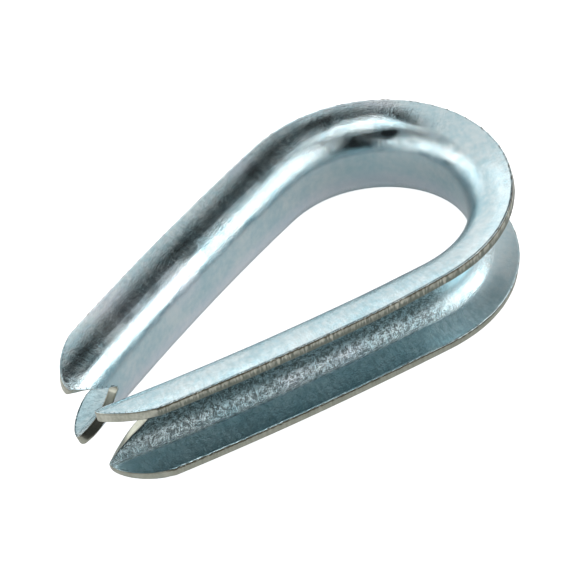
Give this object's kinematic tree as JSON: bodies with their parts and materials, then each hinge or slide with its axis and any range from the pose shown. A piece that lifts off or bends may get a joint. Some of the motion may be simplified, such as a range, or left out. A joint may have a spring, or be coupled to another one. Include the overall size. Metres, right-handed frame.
{
  "type": "thimble eye",
  "caption": "Teardrop wire rope thimble rolled from zinc-plated steel strip, with its rope groove outwards and fishtail ends.",
  "frame": {"origin": "centre of the crown arc, at half height: the axis of a pin that bears in the crown", "axes": "+X from the legs to the crown, +Z along the axis of the eye"},
  "size_m": [0.053, 0.0302, 0.011],
  "materials": {
    "zinc_plated_steel": "bright zinc plate with a clear blue passivate"
  },
  "bodies": {
    "root": {"thimble": "zinc_plated_steel"}
  },
  "joints": []
}
